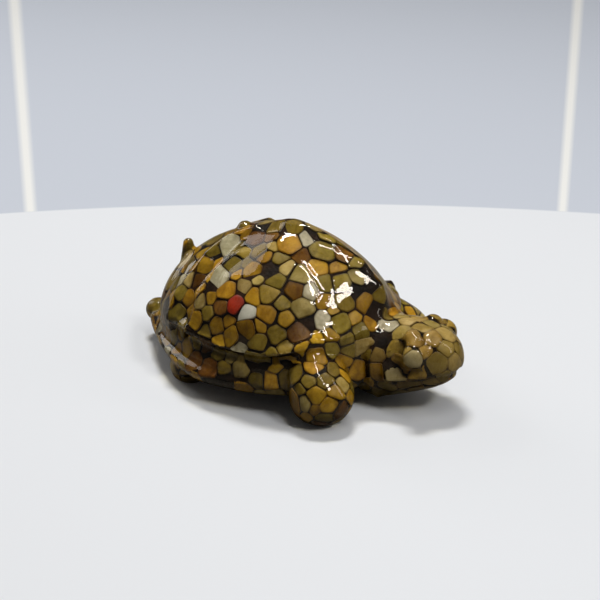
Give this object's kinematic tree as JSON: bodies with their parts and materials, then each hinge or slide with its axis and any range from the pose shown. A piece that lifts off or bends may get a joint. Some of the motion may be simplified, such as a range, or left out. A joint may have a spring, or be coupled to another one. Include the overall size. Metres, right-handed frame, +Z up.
{
  "type": "turtle figurine",
  "caption": "Tabletop turtle figurine of clear cast resin packed with polished stone chips, with a domed shell, raised head and four stubby legs with flat feet.",
  "frame": {"origin": "on the table under the middle of the overall length, at the level of the flat feet", "axes": "+X forward towards the head, +Y to the turtle's left, +Z up"},
  "size_m": [0.0799, 0.0494, 0.0352],
  "materials": {
    "clear_resin": "clear cast resin, polished to a wet gloss",
    "packed_core": "fine gravel bound in resin, seen as near-black red-brown gaps between the chips",
    "ochre_stone": "polished amber-yellow jade chip, mottled",
    "olive_stone": "polished olive-khaki chip, slightly translucent",
    "cream_stone": "polished cream-beige chip",
    "grey_stone": "polished grey-white quartz chip",
    "brown_stone": "polished red-brown chip",
    "red_stone": "polished deep red jasper chip",
    "white_stone": "polished milky white quartz chip"
  },
  "bodies": {
    "root": {"belly_brown_stones": "brown_stone", "belly_clear_resin": "clear_resin", "belly_core": "packed_core", "belly_cream_stones": "cream_stone", "belly_ochre_stones": "ochre_stone", "belly_olive_stones": "olive_stone", "dome_brown_stones": "brown_stone", "dome_cream_stones": "cream_stone", "dome_grey_stones": "grey_stone", "dome_ochre_stones": "ochre_stone", "dome_olive_stones": "olive_stone", "dome_red_stones": "red_stone", "dome_white_stones": "white_stone", "front_left_leg_brown_stones": "brown_stone", "front_left_leg_clear_resin": "clear_resin", "front_left_leg_core": "packed_core", "front_left_leg_cream_stones": "cream_stone", "front_left_leg_ochre_stones": "ochre_stone", "front_left_leg_olive_stones": "olive_stone", "front_right_leg_brown_stones": "brown_stone", "front_right_leg_clear_resin": "clear_resin", "front_right_leg_core": "packed_core", "front_right_leg_cream_stones": "cream_stone", "front_right_leg_ochre_stones": "ochre_stone", "front_right_leg_olive_stones": "olive_stone", "head_brown_stones": "brown_stone", "head_clear_resin": "clear_resin", "head_core": "packed_core", "head_cream_stones": "cream_stone", "head_grey_stones": "grey_stone", "head_ochre_stones": "ochre_stone", "head_olive_stones": "olive_stone", "left_eye": "clear_resin", "middle_back_peg": "clear_resin", "rear_back_peg": "clear_resin", "rear_left_leg_clear_resin": "clear_resin", "rear_left_leg_core": "packed_core", "rear_left_leg_cream_stones": "cream_stone", "rear_right_leg_clear_resin": "clear_resin", "rear_right_leg_core": "packed_core", "rear_right_leg_ochre_stones": "ochre_stone", "rear_right_leg_olive_stones": "olive_stone", "right_eye": "clear_resin", "shell_clear_resin": "clear_resin", "shell_core": "packed_core", "skirt_brown_stones": "brown_stone", "skirt_cream_stones": "cream_stone", "skirt_grey_stones": "grey_stone", "skirt_ochre_stones": "ochre_stone", "skirt_olive_stones": "olive_stone", "tail_nub": "clear_resin"}
  },
  "joints": []
}
